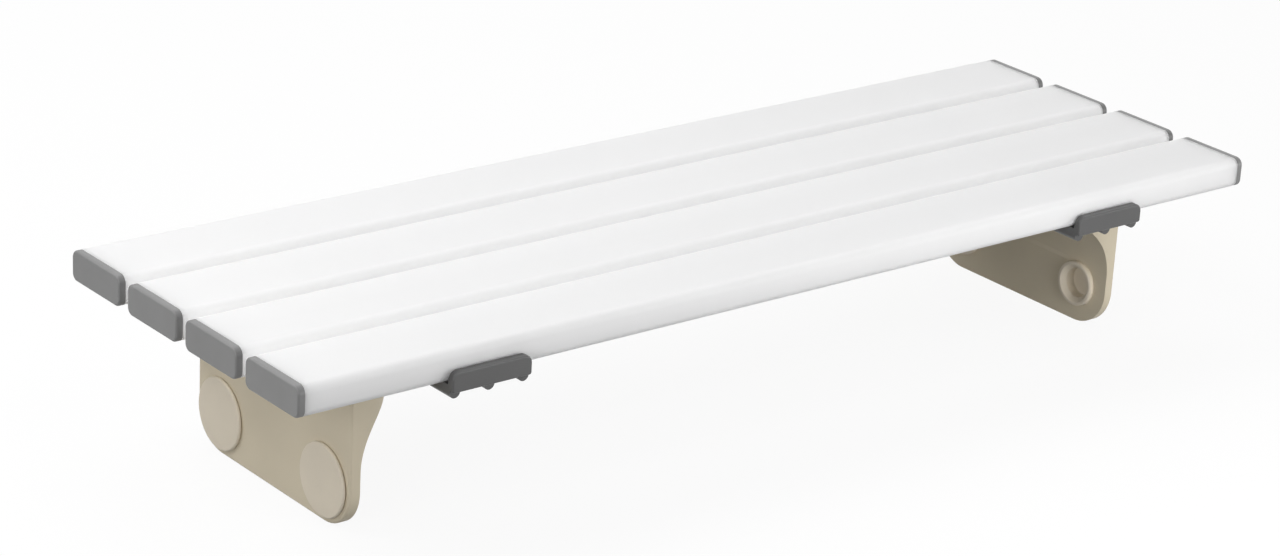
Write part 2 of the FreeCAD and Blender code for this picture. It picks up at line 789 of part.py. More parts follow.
bodies = [make_slat(index) for index in range(SLATS)]
for side, setback in ((-1, s.LeftSetback), (1, s.RightSetback)):
    plate_place = far_reach - s.BufferProud - setback
    for index in range(SLATS):
        bodies.append(make_cap(side, index))
    bodies.append(make_cross_bar(side))
    bodies.append(make_screws(side))
    bodies.append(make_bracket(side, plate_place))
    for row in (-1, 1):
        bodies.append(make_buffer(side, row, plate_place))
        bodies.append(make_bolt(side, row))
        bodies.append(make_washer(side, row))
        bodies.append(make_knob(side, row))
        bodies.append(make_insert(side, row))
doc.recompute()

for item in doc.Objects:
    if "Invalid" in item.State or "Error" in item.State:
        raise RuntimeError(item.Name + " in state " + ", ".join(item.State))
for body in bodies:
    if body.Shape.isNull() or not body.Shape.isValid():
        raise RuntimeError(body.Label + " has no valid shape")

os.makedirs("parts", exist_ok=True)
for body in bodies:
    body.Shape.exportStep("parts/" + body.Label + ".step")
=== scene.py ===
import math

import bmesh
import bpy
from bpy.props import FloatProperty, FloatVectorProperty, IntProperty, PointerProperty
from mathutils import Euler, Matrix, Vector


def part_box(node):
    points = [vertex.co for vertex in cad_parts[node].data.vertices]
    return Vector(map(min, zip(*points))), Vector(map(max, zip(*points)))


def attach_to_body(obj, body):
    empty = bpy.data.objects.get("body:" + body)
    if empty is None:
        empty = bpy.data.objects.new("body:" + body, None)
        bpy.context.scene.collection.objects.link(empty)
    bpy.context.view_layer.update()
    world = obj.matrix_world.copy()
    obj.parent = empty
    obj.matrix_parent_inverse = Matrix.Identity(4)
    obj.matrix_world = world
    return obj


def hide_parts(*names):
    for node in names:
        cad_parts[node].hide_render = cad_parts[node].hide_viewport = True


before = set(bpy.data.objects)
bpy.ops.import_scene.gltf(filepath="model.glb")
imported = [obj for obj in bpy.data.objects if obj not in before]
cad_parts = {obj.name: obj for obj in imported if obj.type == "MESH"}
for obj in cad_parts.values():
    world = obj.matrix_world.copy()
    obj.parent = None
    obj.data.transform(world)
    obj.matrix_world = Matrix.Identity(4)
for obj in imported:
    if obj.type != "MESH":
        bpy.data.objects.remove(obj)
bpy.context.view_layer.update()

bl_info = {
    "name": "Bath board",
    "version": (1, 0, 0),
    "blender": (4, 5, 0),
    "location": "3D View > Sidebar > Bath board",
    "description": "Dresses the packed bath board with its finishes, small parts, stage and camera",
    "category": "Object",
}

SIDES = ("left", "right")
ROWS = ("front", "rear")
CORNERS = ["%s_%s" % (side, row) for side in SIDES for row in ROWS]
SLATS = 4

# Distances in metres that make up for rounded numbers
ROUNDING = 0.0000004    # taken off a height, so that the mesh stays inside the frame's box
WELD = 0.00001          # joins the shell of a bar
FINE_WELD = 0.000002    # joins the points of a turned shape, or a node's loose triangles
TOUCH = 0.00001         # a point this near to a face lies on it

# How finely round shapes are divided
CORNER_STEPS = 10       # on each corner of a slat's section
ARC_STEPS = 5           # on each rounding of a turned profile
BUFFER_SEGMENTS = 96
SCREW_SEGMENTS = 48
WASHER_SEGMENTS = 64
FLOOR_SEGMENTS = 96
SMOOTH_ANGLE = 35       # degrees between two faces, above which their edge stays crisp
FLAT_ANGLE = 1          # degrees between two faces, below which they are one

# The middle range of a noise, where nearly all of it lies
NOISE_LOW, NOISE_HIGH = 0.3, 0.7

# Strength of the painted glow on the slats' inner sides, which lightens the gaps between them
PAINTED_GAP_GLOW = 0.15

# The stage. A lamp has a name, a place, what it is aimed at, a width and a power in watts.
WHITE = (1, 1, 1, 1)
FLOOR_RADIUS = 9
FLOOR_GLOW = 0.92       # share of plain white in the floor, where the camera sees it
WORLD_LIGHT = 0.03      # strength of the light from all round
LAMPS = (
    ("rear_window", (-1.1, 0.8, 1.5), (0, 0, 0.1), 1.2, 22),
    ("rear_overhead", (0.75, 0.95, 1.65), (0, 0, 0.1), 1.6, 15),
    ("front_overhead", (0.1, -0.9, 1.3), (0, 0, 0.1), 1.0, 4.8),
    ("left", (-1.05, 0.45, 0.4), (-0.34, 0, 0.08), 0.4, 0.8),
    ("left_low", (-1.2, -0.5, 0.35), (0, 0, 0.05), 0.5, 4.5),
    ("front_low", (0.15, -0.7, 0.07), (0.15, 0, 0.09), 0.3, 2.6),
    ("front_right", (1.2, -0.8, 0.1), (0.25, 0, 0.08), 0.5, 6.2),
)
SENSOR, LENS = 36, 104.234      # millimetres
CAMERA_PLACE = (-1.28960, -1.54030, 0.84829)
CAMERA_TURN = (1.197646, -0.051455, -0.663597)
CAMERA_REACH = 50


# Sizes read from the frame

def box_size(node):
    low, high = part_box(node)
    return high - low


def box_middle(node):
    low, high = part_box(node)
    return (low + high) / 2


def numbered(stem):
    """The names of the nodes that come once on each slat."""
    return ["%s_%d" % (stem, number) for number in range(1, SLATS + 1)]


FIRST_SLAT = box_middle("slat_1")
LAST_SLAT = box_middle("slat_4")
SLAT_SIZE = box_size("slat_1")
SLAT_LEFT, SLAT_RIGHT = (corner.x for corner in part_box("slat_1"))
CAP_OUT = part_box("end_cap_right_1")[1].x


# Properties

def colour_property(name, description, default):
    return FloatVectorProperty(
        name=name, description=description, subtype="COLOR", size=3, min=0, max=1, default=default
    )


def length_property(name, description, default):
    return FloatProperty(
        name=name, description=description, subtype="DISTANCE", unit="LENGTH", min=0,
        default=default, precision=5,
    )


class BathBoardSizes(bpy.types.PropertyGroup):
    """Sizes of the dressed pieces"""
    slat_count: IntProperty(
        name="Slats", description="Number of slats", default=SLATS, min=1, max=12
    )
    slat_pitch: length_property(
        "Slat pitch", "From one slat's middle to the next",
        (LAST_SLAT.y - FIRST_SLAT.y) / (SLATS - 1),
    )
    slat_top_radius: length_property("Slat top radius", "Upper corners of a slat", 0.0048)
    slat_foot_radius: length_property("Slat foot radius", "Lower corners of a slat", 0.0044)
    seam: length_property("Seam", "Rounding on both sides of the joint with a cap", 0.0002)
    cap_edge: length_property("Cap edge", "Rounding of a cap's outer edge", 0.0013)
    soft_edge: length_property("Soft edge", "Rounding of moulded edges", 0.0004)
    lip_edge: length_property("Lip edge", "Rounding round a cross-bar's lips", 0.0009)
    disc_radius: length_property("Disc radius", "Buffer's disc", 0.0212)
    disc_proud: length_property("Disc proud", "Disc's face from the plate", 0.0023)
    disc_edge: length_property("Disc edge", "Rounding of the disc", 0.0013)
    foot_gap: length_property("Foot gap", "Shadow gap under the disc's rim", 0.0007)
    foot_inset: length_property("Foot inset", "How far the shadow gap goes in", 0.0012)
    face_wall: length_property("Face wall", "Rubber behind the disc's face", 0.0026)
    plate_thickness: length_property("Plate", "Thickness of the bracket's plate", 0.0065)
    stem_radius: length_property("Stem radius", "Buffer's stem through the plate", 0.011)
    hollow_radius: length_property("Hollow radius", "Hollow inside the stem", 0.0094)
    collar_radius: length_property("Collar radius", "Buffer's collar", 0.0143)
    collar_edge: length_property("Collar edge", "Rounding of the collar", 0.0011)
    collar_sunk: length_property("Collar sunk", "Collar's foot below the plate's face", 0.0004)
    mouth_radius: length_property("Mouth radius", "Mouth of the collar's cone", 0.012)
    screw_head: length_property("Screw head", "Radius of a screw's head", 0.0039)
    screw_crown: length_property("Screw crown", "Height of a screw's head", 0.0025)
    screw_shank: length_property("Screw shank", "Radius of a screw's shank", 0.0019)
    inner_screw: length_property("Inner screws", "From the board's middle line", 0.0131)
    washer_hole: length_property("Washer hole", "Radius of the washer's hole", 0.0033)


class BathBoardColours(bpy.types.PropertyGroup):
    """Colours of the finishes"""
    slat: colour_property("Slats", "White extruded plastic", (0.89, 0.89, 0.892))
    cap: colour_property("End caps", "Grey moulded plastic", (0.203, 0.203, 0.202))
    bar: colour_property("Cross-bars", "Dark grey moulded plastic", (0.083, 0.083, 0.083))
    bracket: colour_property("Brackets", "Beige moulded plastic", (0.722, 0.643, 0.493))
    buffer: colour_property("Buffers", "Beige rubber", (0.82, 0.74, 0.605))
    steel: colour_property("Steel", "Plated steel", (0.56, 0.57, 0.60))
    brass: colour_property("Brass", "Turned brass", (0.76, 0.57, 0.25))
    floor: colour_property("Floor", "Pale floor", (0.18, 0.18, 0.18))


# Node trees

class Nodes:
    """Short ways to add nodes to a node tree."""

    def __init__(self, tree):
        self.tree = tree

    def fill(self, node, values):
        """Set a node's inputs to plain values, or link them to other nodes' outputs."""
        for key, value in values.items():
            if isinstance(value, bpy.types.NodeSocket):
                self.tree.links.new(value, node.inputs[key])
            else:
                node.inputs[key].default_value = value

    def node(self, kind, values=None, **settings):
        made = self.tree.nodes.new(kind)
        for key, value in settings.items():
            setattr(made, key, value)
        self.fill(made, values or {})
        return made

    def math(self, operation, first, second=0.0):
        return self.node("ShaderNodeMath", {0: first, 1: second}, operation=operation).outputs[0]

    def rays(self):
        """Whether the camera sees the surface, and whether the camera or a gloss sees it."""
        path = self.node("ShaderNodeLightPath").outputs
        camera = path["Is Camera Ray"]
        return camera, self.math("MAXIMUM", camera, path["Is Glossy Ray"])


# Materials

class Shader(Nodes):
    """A Principled material, and short ways to give it colour, gloss and bumps."""

    def __init__(self, name):
        self.material = bpy.data.materials.new(name)
        self.material.use_nodes = True
        super().__init__(self.material.node_tree)
        self.shader = self.tree.nodes["Principled BSDF"]
        self.place = self.node("ShaderNodeTexCoord").outputs["Object"]

    def set(self, **values):
        """Fill the shader's own inputs, named with _ for each space."""
        self.fill(self.shader, {key.replace("_", " "): value for key, value in values.items()})

    def noise(self, scale=1, stretch=(1, 1, 1), detail=3):
        """Noise read at object coordinates, finer by scale and squeezed by stretch."""
        mapping = self.node("ShaderNodeMapping", {"Vector": self.place, "Scale": stretch})
        noise = self.node("ShaderNodeTexNoise", {
            "Vector": mapping.outputs["Vector"], "Scale": scale, "Detail": detail,
        })
        return noise.outputs["Fac"]

    def colour(self, base, share, source):
        """The base colour, darker and lighter by a share along a noise."""
        ramp = self.node("ShaderNodeValToRGB", {"Fac": source})
        low, high = ramp.color_ramp.elements
        low.position, high.position = NOISE_LOW, NOISE_HIGH
        low.color = [c * (1 - share) for c in base] + [1]
        high.color = [min(1, c * (1 + share)) for c in base] + [1]
        self.set(Base_Color=ramp.outputs["Color"])

    def rough(self, low, high, source):
        """Roughness from low to high along a noise."""
        spread = self.node("ShaderNodeMapRange", {
            "Value": source, "From Min": NOISE_LOW, "From Max": NOISE_HIGH,
            "To Min": low, "To Max": high,
        })
        self.set(Roughness=spread.outputs["Result"])

    def bump(self, *layers):
        """Bumps given as (noise, height in metres), one on another."""
        under = {}
        for source, height in layers:
            bump = self.node("ShaderNodeBump", {"Height": source, "Distance": height, **under})
            under = {"Normal": bump.outputs["Normal"]}
        self.fill(self.shader, under)


def slat_plastic(name, colour):
    """Extruded white plastic: faint draw lines along the slat over a soft gloss.

    The sides that face each other across the gaps carry a faint painted glow,
    which lightens the gaps between the slats.
    """
    finish = Shader(name)
    lines = finish.noise(stretch=(3, 1400, 1400))
    broad = finish.noise(stretch=(1.5, 120, 120), detail=2)
    finish.colour(colour, share=0.006, source=finish.noise(scale=9))
    finish.rough(low=0.50, high=0.58, source=broad)
    finish.bump((broad, 0.000008), (lines, 0.000003))
    finish.set(
        IOR=1.5, Specular_IOR_Level=0.3,
        Subsurface_Weight=0.8, Subsurface_Radius=(1, 1, 1), Subsurface_Scale=0.012,
    )
    # Painted glow: faces turned across the gaps, between the outer slats' middles, emit faint white
    # light
    across = finish.node("ShaderNodeSeparateXYZ", {0: finish.place}).outputs["Y"]
    normal = finish.node("ShaderNodeNewGeometry").outputs["Normal"]
    facing = finish.node("ShaderNodeSeparateXYZ", {0: normal}).outputs["Y"]
    sideways = finish.math("ABSOLUTE", facing)
    inside = finish.math("LESS_THAN", finish.math("ABSOLUTE", across), LAST_SLAT.y)
    glow = finish.math("MULTIPLY", finish.math("MULTIPLY", sideways, inside), PAINTED_GAP_GLOW)
    finish.set(Emission_Color=WHITE, Emission_Strength=glow)
    return finish.material


def moulded_plastic(name, colour, low, high, grain, share=0.03, gloss=0.5):
    """Moulded plastic: a fine spark-eroded grain, slightly uneven in shade and gloss."""
    finish = Shader(name)
    fine = finish.noise(scale=grain)
    cloud = finish.noise(scale=22)
    finish.colour(colour, share, cloud)
    finish.rough(low, high, finish.noise(scale=70, detail=2))
    finish.bump((cloud, 0.00003), (fine, 0.00002))
    finish.set(IOR=1.5, Specular_IOR_Level=gloss)
    return finish.material


def soft_rubber(name, colour):
    """Matt rubber with a dusty sheen."""
    finish = Shader(name)
    cloud = finish.noise(scale=45)
    finish.colour(colour, share=0.025, source=cloud)
    finish.rough(low=0.62, high=0.74, source=cloud)
    finish.bump((finish.noise(scale=2600), 0.00002))
    finish.set(IOR=1.5, Specular_IOR_Level=0.35, Sheen_Weight=0.08, Sheen_Roughness=0.5)
    return finish.material


def turned_metal(name, colour, stretch):
    """Metal with fine tool marks."""
    finish = Shader(name)
    marks = finish.noise(stretch=stretch)
    finish.colour(colour, share=0.06, source=finish.noise(scale=160))
    finish.rough(low=0.24, high=0.42, source=marks)
    finish.bump((marks, 0.000008))
    finish.set(Metallic=1.0)
    return finish.material


# Each material slot of the record: what makes its finish, its colour property and its settings
MAKERS = {
    "slat_white": (slat_plastic, "slat", {}),
    "cap_grey": (moulded_plastic, "cap", {"low": 0.42, "high": 0.50, "grain": 2600}),
    "bar_grey": (moulded_plastic, "bar", {"low": 0.36, "high": 0.46, "grain": 2300}),
    "bracket_beige": (moulded_plastic, "bracket", {
        "low": 0.50, "high": 0.60, "grain": 2300, "share": 0.02, "gloss": 0.25,
    }),
    "buffer_rubber": (soft_rubber, "buffer", {}),
    "fastener_steel": (turned_metal, "steel", {"stretch": (300, 300, 3000)}),
    "knob_grey": (moulded_plastic, "bar", {"low": 0.40, "high": 0.50, "grain": 2600}),
    "insert_brass": (turned_metal, "brass", {"stretch": (200, 200, 4000)}),
}
FINISHES = {}


def finish_of(slot_name):
    """The finish of one of the record's material slots, made when it is first asked for."""
    if slot_name not in FINISHES:
        make, colour, settings = MAKERS[slot_name]
        colours = bpy.context.scene.bath_board_colours
        FINISHES[slot_name] = make(slot_name, getattr(colours, colour), **settings)
    return FINISHES[slot_name]


# Geometry node trees

class Tree(Nodes):
    """A geometry node tree with named inputs, and short ways to build shapes in it."""

    def __init__(self, name, inputs):
        super().__init__(bpy.data.node_groups.new(name, "GeometryNodeTree"))
        sockets = self.tree.interface
        for way in ("INPUT", "OUTPUT"):
            sockets.new_socket("Geometry", in_out=way, socket_type="NodeSocketGeometry")
        for label, kind in inputs.items():
            sockets.new_socket(label, in_out="INPUT", socket_type="NodeSocket" + kind)
        self.source = self.node("NodeGroupInput")
        self.sink = self.node("NodeGroupOutput")

    def given(self, label):
        return self.source.outputs[label]

    def vector(self, x=0.0, y=0.0, z=0.0):
        return self.node("ShaderNodeCombineXYZ", {"X": x, "Y": y, "Z": z}).outputs[0]

    def joined(self, *shapes):
        node = self.node("GeometryNodeJoinGeometry")
        for shape in shapes:
            self.fill(node, {0: shape})
        return node.outputs[0]

    def welded(self, shape, distance):
        return self.node("GeometryNodeMergeByDistance", {
            "Geometry": shape, "Distance": distance,
        }).outputs[0]

    def moved(self, shape, **values):
        return self.node("GeometryNodeTransform", {"Geometry": shape, **values}).outputs[0]

    def rounded_bar(self, width, height, length, top_radius, foot_radius):
        """A bar along X from the origin: its section is a rectangle with two corner radii."""
        section = self.node("GeometryNodeCurvePrimitiveQuadrilateral", {
            "Width": width, "Height": height,
        })
        # The section's corners are numbered from the top, and inputs 2 and 3 are the compared
        # whole numbers.
        corner = self.node("GeometryNodeInputIndex").outputs[0]
        last_upper = 1
        lower = self.node("FunctionNodeCompare", {2: corner, 3: last_upper},
                          data_type="INT", operation="GREATER_THAN").outputs[0]
        radius = self.node("GeometryNodeSwitch", {
            "Switch": lower, "False": top_radius, "True": foot_radius,
        }, input_type="FLOAT").outputs[0]
        rounded = self.node("GeometryNodeFilletCurve", {
            "Curve": section.outputs[0], "Radius": radius, "Count": CORNER_STEPS,
        }, mode="POLY")
        face = self.node("GeometryNodeFillCurve", {"Curve": rounded.outputs[0]}, mode="NGONS")
        extruded = self.node("GeometryNodeExtrudeMesh", {
            "Mesh": face.outputs[0], "Offset": self.vector(z=length), "Offset Scale": 1.0,
            "Individual": False,
        }, mode="FACES")
        back = self.node("GeometryNodeFlipFaces", {"Mesh": face.outputs[0]})
        shell = self.welded(self.joined(extruded.outputs["Mesh"], back.outputs[0]), WELD)
        return self.moved(shell, Rotation=Euler((math.pi / 2, 0, math.pi / 2)))

    def turned(self, segments):
        """The input's profile turned about the z axis: its points are (radius, 0, height)."""
        profile = self.given("Geometry")
        count = self.node(
            "GeometryNodeAttributeDomainSize", {0: profile}, component="MESH"
        ).outputs[0]
        sheet = self.node("GeometryNodeMeshGrid", {
            "Vertices X": self.math("ADD", segments, 1), "Vertices Y": count,
        })
        index = self.node("GeometryNodeInputIndex").outputs[0]
        along = self.math("FLOORED_MODULO", index, count)
        segment = self.math("FLOOR", self.math("DIVIDE", index, count))
        own = self.node("GeometryNodeInputPosition").outputs[0]
        sample = self.node("GeometryNodeSampleIndex", {
            "Geometry": profile, "Value": own, "Index": along,
        }, data_type="FLOAT_VECTOR", domain="POINT")
        point = self.node("ShaderNodeSeparateXYZ", {0: sample.outputs[0]}).outputs
        angle = self.math("MULTIPLY", self.math("DIVIDE", segment, segments), 2 * math.pi)
        x = self.math("MULTIPLY", point["X"], self.math("COSINE", angle))
        y = self.math("MULTIPLY", point["X"], self.math("SINE", angle))
        placed = self.node("GeometryNodeSetPosition", {
            "Geometry": sheet.outputs["Mesh"], "Position": self.vector(x, y, point["Z"]),
        })
        return self.welded(placed.outputs[0], FINE_WELD)

    def repeated(self, shape, count, first, step):
        """Copies of a shape on a straight row of points."""
        points = self.node("GeometryNodeMeshLine", {
            "Count": count, "Start Location": first, "Offset": step,
        }, mode="OFFSET")
        placed = self.node("GeometryNodeInstanceOnPoints", {
            "Points": points.outputs[0], "Instance": shape,
        })
        return placed.outputs[0]

    def end(self, shape):
        """Finish the tree: real geometry with its material."""
        real = self.node("GeometryNodeRealizeInstances", {"Geometry": shape})
        painted = self.node("GeometryNodeSetMaterial", {
            "Geometry": real.outputs[0], "Material": self.given("Material"),
        })
        self.fill(self.sink, {0: painted.outputs[0]})
        return self.tree


def bar_row(name, count, length):
    """A tree for a row of rounded bars. count and length are the labels of those two inputs."""
    tree = Tree(name, {
        count: "Int", "Width": "Float", "Height": "Float", length: "Float",
        "Top radius": "Float", "Foot radius": "Float",
        "First": "Vector", "Step": "Vector", "Material": "Material",
    })
    bar = tree.rounded_bar(
        tree.given("Width"), tree.given("Height"), tree.given(length),
        tree.given("Top radius"), tree.given("Foot radius"),
    )
    return tree.end(
        tree.repeated(bar, tree.given(count), tree.given("First"), tree.given("Step"))
    )


def bar_values(sizes, start, slot_name):
    """What the slats' tree and the caps' tree are both given, for bars that begin at start."""
    return {
        "Width": SLAT_SIZE.y, "Height": SLAT_SIZE.z - ROUNDING,
        "Top radius": sizes.slat_top_radius, "Foot radius": sizes.slat_foot_radius,
        "First": (start, FIRST_SLAT.y, FIRST_SLAT.z), "Step": (0, sizes.slat_pitch, 0),
        "Material": finish_of(slot_name),
    }


def rounded_profile(corners):
    """Points of an outline given as (radius, height, rounding), its corners turned to arcs."""
    points = []
    for index, (radius, height, rounding) in enumerate(corners):
        here = Vector((radius, 0, height))
        if not rounding:
            points.append(here)
            continue
        before, after = (Vector((corners[n][0], 0, corners[n][1])) for n in (index - 1, index + 1))
        back, ahead = (before - here).normalized(), (after - here).normalized()
        half = back.angle(ahead) / 2
        centre = here + (back + ahead).normalized() * (rounding / math.sin(half))
        first = here + back * (rounding / math.tan(half)) - centre
        last = here + ahead * (rounding / math.tan(half)) - centre
        for step in range(ARC_STEPS + 1):
            arm = first.normalized().slerp(last.normalized(), step / ARC_STEPS)
            points.append(centre + arm * rounding)
    return points


# Pieces

def add_object(name, data):
    """A new object in the scene, at the origin."""
    made = bpy.data.objects.new(name, data)
    bpy.context.scene.collection.objects.link(made)
    return made


def smooth(piece):
    piece.data.shade_smooth()
    piece.data.set_sharp_from_angle(angle=math.radians(SMOOTH_ANGLE))


def made_mesh(piece):
    """The plain mesh that an object's modifiers make."""
    bpy.context.view_layer.update()
    evaluated = piece.evaluated_get(bpy.context.evaluated_depsgraph_get())
    return bpy.data.meshes.new_from_object(evaluated)


def grow(name, group, values, profile=()):
    """Run a tree once, on a profile where it turns one, and keep the result's plain mesh."""
    base = bpy.data.meshes.new(name + "_carrier")
    base.from_pydata(profile, [], [])
    carrier = add_object(name + "_carrier", base)
    modifier = carrier.modifiers.new("Tree", "NODES")
    modifier.node_group = group
    for item in group.interface.items_tree:
        if item.in_out == "INPUT" and item.name in values:
            modifier[item.identifier] = values[item.name]
    mesh = made_mesh(carrier)
    carrier.modifiers.remove(modifier)
    bpy.data.objects.remove(carrier)
    if not mesh.polygons:
        raise RuntimeError(name + " came out empty")
    mesh.name = name
    piece = add_object(name, mesh)
    smooth(piece)
    return piece


def weigh_edges(mesh, weight_of):
    """Give each edge the bevel weight that follows from the places of its two ends."""
    weights = mesh.attributes.new("bevel_weight_edge", "FLOAT", "EDGE")
    for edge in mesh.edges:
        ends = [mesh.vertices[vertex].co for vertex in edge.vertices]
        weights.data[edge.index].value = weight_of(*ends)


def round_edges(piece, width, segments=3, angle=50, weighted=False):
    """Bevel the edges that are sharper than an angle, or else those that have a weight."""
    bevel = piece.modifiers.new("Bevel", "BEVEL")
    bevel.width = width
    bevel.segments = segments
    bevel.limit_method = "WEIGHT" if weighted else "ANGLE"
    bevel.angle_limit = math.radians(angle)
    bevel.use_clamp_overlap = True
    bevel.harden_normals = True
    mesh = made_mesh(piece)
    piece.modifiers.clear()
    piece.data = mesh


def clean_copy(node, name, slot_name):
    """A copy of a node, merged and cleaned to whole faces."""
    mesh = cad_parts[node].data.copy()
    mesh.name = name
    shape = bmesh.new()
    shape.from_mesh(mesh)
    bmesh.ops.remove_doubles(shape, verts=shape.verts, dist=FINE_WELD)
    bmesh.ops.dissolve_limit(
        shape, angle_limit=math.radians(FLAT_ANGLE), verts=shape.verts, edges=shape.edges
    )
    shape.to_mesh(mesh)
    shape.free()
    mesh.materials.clear()
    mesh.materials.append(finish_of(slot_name))
    piece = add_object(name, mesh)
    smooth(piece)
    return piece


def softened_copy(node, name, width, slot_name):
    """A clean copy of a node with its edges rounded."""
    piece = clean_copy(node, name, slot_name)
    round_edges(piece, width)
    return piece


def dress_node(node, slot_name):
    """Give a carried-over node its finish."""
    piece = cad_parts[node]
    piece.data.materials.clear()
    piece.data.materials.append(finish_of(slot_name))


def attach(piece, body, slot_name, *nodes):
    """Hang a finished piece on its body, in place of the nodes that it stands for."""
    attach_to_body(piece, body)
    if nodes:
        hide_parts(*nodes)


# Operators, one for each kind of piece

class BATHBOARD_OT_slats(bpy.types.Operator):
    """Make the four white slats, side by side along the board"""
    bl_idname = "bathboard.slats"
    bl_label = "Slats"

    def execute(self, context):
        sizes = context.scene.bath_board_sizes
        piece = grow("slats", bar_row("Slats", "Slats", "Length"), {
            "Slats": sizes.slat_count, "Length": SLAT_SIZE.x,
            **bar_values(sizes, SLAT_LEFT, "slat_white"),
        })
        round_edges(piece, sizes.seam, segments=2, angle=60)
        attach(piece, "board", "slat_white", *numbered("slat"))
        return {"FINISHED"}


class BATHBOARD_OT_end_caps(bpy.types.Operator):
    """Make the grey end caps, flush with the slats"""
    bl_idname = "bathboard.end_caps"
    bl_label = "End caps"

    def execute(self, context):
        sizes = context.scene.bath_board_sizes
        seam_share = sizes.seam / sizes.cap_edge

        def weight_of(first, second):
            """The full rounding goes round the outer face, and a small one round the joint."""
            if abs(first.x - second.x) >= TOUCH:
                return 0.0
            return 1.0 if abs(abs(first.x) - CAP_OUT) < TOUCH else seam_share

        group = bar_row("End caps", "Caps", "Thickness")
        for side in SIDES:
            start = SLAT_RIGHT if side == "right" else -CAP_OUT
            piece = grow("end_caps_" + side, group, {
                "Caps": sizes.slat_count, "Thickness": CAP_OUT - SLAT_RIGHT,
                **bar_values(sizes, start, "cap_grey"),
            })
            weigh_edges(piece.data, weight_of)
            round_edges(piece, sizes.cap_edge, segments=4, weighted=True)
            attach(piece, "board", "cap_grey", *numbered("end_cap_" + side))
        return {"FINISHED"}


class BATHBOARD_OT_cross_bars(bpy.types.Operator):
    """Dress the dark cross-bars with rounded moulded edges"""
    bl_idname = "bathboard.cross_bars"
    bl_label = "Cross-bars"

    def execute(self, context):
        sizes = context.scene.bath_board_sizes
        for side in SIDES:
            node = "cross_bar_" + side
            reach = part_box(node)[1].y

            def weight_of(*ends):
                """The full rounding goes round the lips' outer faces."""
                return 1.0 if all(abs(end.y) > reach - TOUCH for end in ends) else 0.0

            piece = clean_copy(node, "bar_" + side, "bar_grey")
            weigh_edges(piece.data, weight_of)
            round_edges(piece, sizes.lip_edge, segments=4, weighted=True)
            round_edges(piece, sizes.soft_edge)
            attach(piece, "board", "bar_grey", node)
        return {"FINISHED"}


class BATHBOARD_OT_brackets(bpy.types.Operator):
    """Dress the beige brackets with rounded moulded edges"""
    bl_idname = "bathboard.brackets"
    bl_label = "Brackets"

    def execute(self, context):
        edge = context.scene.bath_board_sizes.soft_edge
        for side in SIDES:
            node = "bracket_" + side
            piece = softened_copy(node, "angle_bracket_" + side, edge, "bracket_beige")
            attach(piece, side + "_bracket", "bracket_beige", node)
        return {"FINISHED"}


class BATHBOARD_OT_buffers(bpy.types.Operator):
    """Turn the rubber buffers, two on each bracket"""
    bl_idname = "bathboard.buffers"
    bl_label = "Buffers"

    def execute(self, context):
        sizes = context.scene.bath_board_sizes
        tree = Tree("Buffers", {
            "Segments": "Int", "Turn": "Vector", "First": "Vector", "Step": "Vector",
            "Material": "Material",
        })
        shape = tree.moved(tree.turned(tree.given("Segments")), Rotation=tree.given("Turn"))
        group = tree.end(
            tree.repeated(shape, len(ROWS), tree.given("First"), tree.given("Step"))
        )
        for side in SIDES:
            nodes = ["buffer_%s_%s" % (side, row) for row in ROWS]
            front, rear = (box_middle(node) for node in nodes)
            depth = box_size(nodes[0]).x
            outward = 1 if side == "right" else -1
            piece = grow("buffers_" + side, group, {
                "Segments": BUFFER_SEGMENTS, "Turn": (0, -outward * math.pi / 2, 0),
                "First": front + Vector((outward * depth / 2, 0, 0)), "Step": rear - front,
                "Material": finish_of("buffer_rubber"),
            }, self.profile(sizes, depth))
            attach(piece, side + "_bracket", "buffer_rubber", *nodes)
        return {"FINISHED"}

    def profile(self, sizes, depth):
        """From the middle of the disc's face, over the collar, to the bottom of the hollow."""
        disc, collar = sizes.disc_radius, sizes.collar_radius
        stem, hollow = sizes.stem_radius, sizes.hollow_radius
        proud, plate, wall = sizes.disc_proud, sizes.plate_thickness, sizes.face_wall
        foot = proud - sizes.foot_gap
        under = proud + plate - sizes.collar_sunk
        foot_round, mouth_round, throat_round, bottom_round = 0.0001, 0.0003, 0.0004, 0.0007
        return rounded_profile([
            (0, 0, 0),
            (disc, 0, sizes.disc_edge),
            (disc, foot, foot_round),
            (disc - sizes.foot_inset, foot, foot_round),
            (disc - sizes.foot_inset, proud, 0),
            (stem, proud, 0),
            (stem, under, 0),
            (collar, under, 0),
            (collar, depth, sizes.collar_edge),
            (sizes.mouth_radius, depth, mouth_round),
            (hollow, proud + plate, throat_round),
            (hollow, wall, bottom_round),
            (0, wall, 0),
        ])


